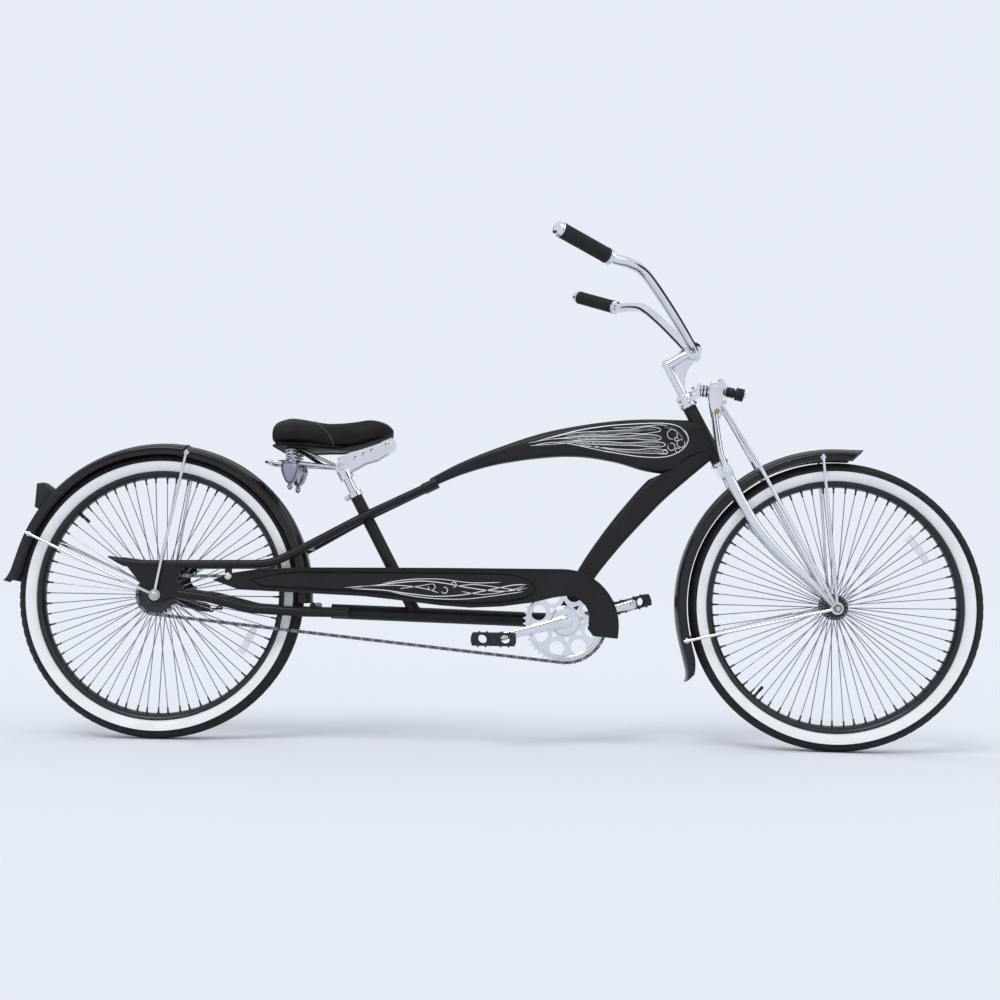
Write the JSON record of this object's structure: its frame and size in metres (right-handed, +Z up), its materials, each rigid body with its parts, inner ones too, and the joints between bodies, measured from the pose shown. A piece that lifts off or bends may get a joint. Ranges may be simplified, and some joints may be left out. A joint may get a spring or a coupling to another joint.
{
  "type": "chopper bicycle",
  "caption": "Stretched cruiser bicycle with tank frame, springer fork, whitewall wire wheels, fenders, high bars and low saddle; wheels, steering, crank and pedals turn.",
  "frame": {"origin": "the rider's place on top of the saddle, in the bicycle's middle plane", "axes": "+X forward along the bicycle, +Y to the rider's left, +Z up"},
  "size_m": [2.2482, 0.7808, 1.1547],
  "materials": {
    "frame_black": "satin",
    "fender_black": "gloss",
    "chrome": "polished",
    "steel": "zinc plated",
    "tyre_rubber": "matt",
    "rim_black": "satin",
    "spoke_steel": "polished",
    "grip_rubber": "matt",
    "black_plastic": "moulded",
    "saddle_vinyl": "grained vinyl"
  },
  "bodies": {
    "frame": {"tank": "frame_black", "down_tube": "frame_black", "head_tube": "frame_black", "headset_cups": "chrome", "lower_tube": "frame_black", "crank_cups": "chrome", "upper_rails": "frame_black", "seat_tube": "frame_black", "chain_stays": "frame_black", "dropouts": "frame_black", "chain": "steel", "chain_guard": "frame_black", "rear_fender": "fender_black", "rear_fender_front": "fender_black", "rear_fender_stays": "chrome", "tail_reflector": "black_plastic", "rear_axle": "steel", "coaster_arm": "steel", "seat_post": "chrome", "seat_collar": "chrome", "saddle_clamp": "chrome", "saddle_cushion": "saddle_vinyl", "frame_bridges": "frame_black", "guard_brackets": "chrome", "saddle_pan": "frame_black", "saddle_arm": "chrome", "saddle_loop": "chrome", "saddle_springs": "chrome", "saddle_bullets": "chrome"},
    "fork": {"steerer": "chrome", "headset_nut": "chrome", "fork_blades": "chrome", "fork_yoke": "chrome", "fork_struts": "chrome", "fork_spring": "chrome", "spring_cap": "black_plastic", "fork_bolts": "chrome", "front_axle": "steel", "front_fender": "fender_black", "front_fender_stays": "chrome", "stem": "chrome", "handlebar": "chrome", "grip_right": "grip_rubber", "grip_cap_right": "chrome", "grip_left": "grip_rubber", "grip_cap_left": "chrome"},
    "front_wheel": {"front_tyre": "tyre_rubber", "front_rim": "rim_black", "front_spokes": "spoke_steel", "front_hub": "spoke_steel"},
    "rear_wheel": {"rear_tyre": "tyre_rubber", "rear_rim": "rim_black", "rear_spokes": "spoke_steel", "rear_hub": "spoke_steel", "rear_sprocket": "steel"},
    "crank": {"crank": "chrome", "chainring": "chrome", "pedal_spindles": "steel"},
    "pedal_right": {"pedal_right": "black_plastic"},
    "pedal_left": {"pedal_left": "black_plastic"}
  },
  "joints": [
    {"name": "steering", "type": "hinge", "parent": "frame", "child": "fork", "pos_m": [0.894, 0, -0.0765], "axis": [-0.4726, 0, 0.8813], "range_deg": [-39, 51]},
    {"name": "front_wheel_spin", "type": "hinge", "parent": "fork", "child": "front_wheel", "pos_m": [1.15632, -0.00792, -0.4062], "axis": [0.0921, 0.9945, 0.0494], "continuous": true},
    {"name": "rear_wheel_spin", "type": "hinge", "parent": "frame", "child": "rear_wheel", "pos_m": [-0.395, 0, -0.406], "axis": [0, 1, 0], "continuous": true},
    {"name": "crank_spin", "type": "hinge", "parent": "frame", "child": "crank", "pos_m": [0.542, 0, -0.45], "axis": [0, 1, 0], "continuous": true},
    {"name": "pedal_right_spin", "type": "hinge", "parent": "crank", "child": "pedal_right", "pos_m": [0.3819, 0, -0.48992], "axis": [0, 1, 0], "continuous": true},
    {"name": "pedal_left_spin", "type": "hinge", "parent": "crank", "child": "pedal_left", "pos_m": [0.7021, 0, -0.41008], "axis": [0, 1, 0], "continuous": true}
  ]
}
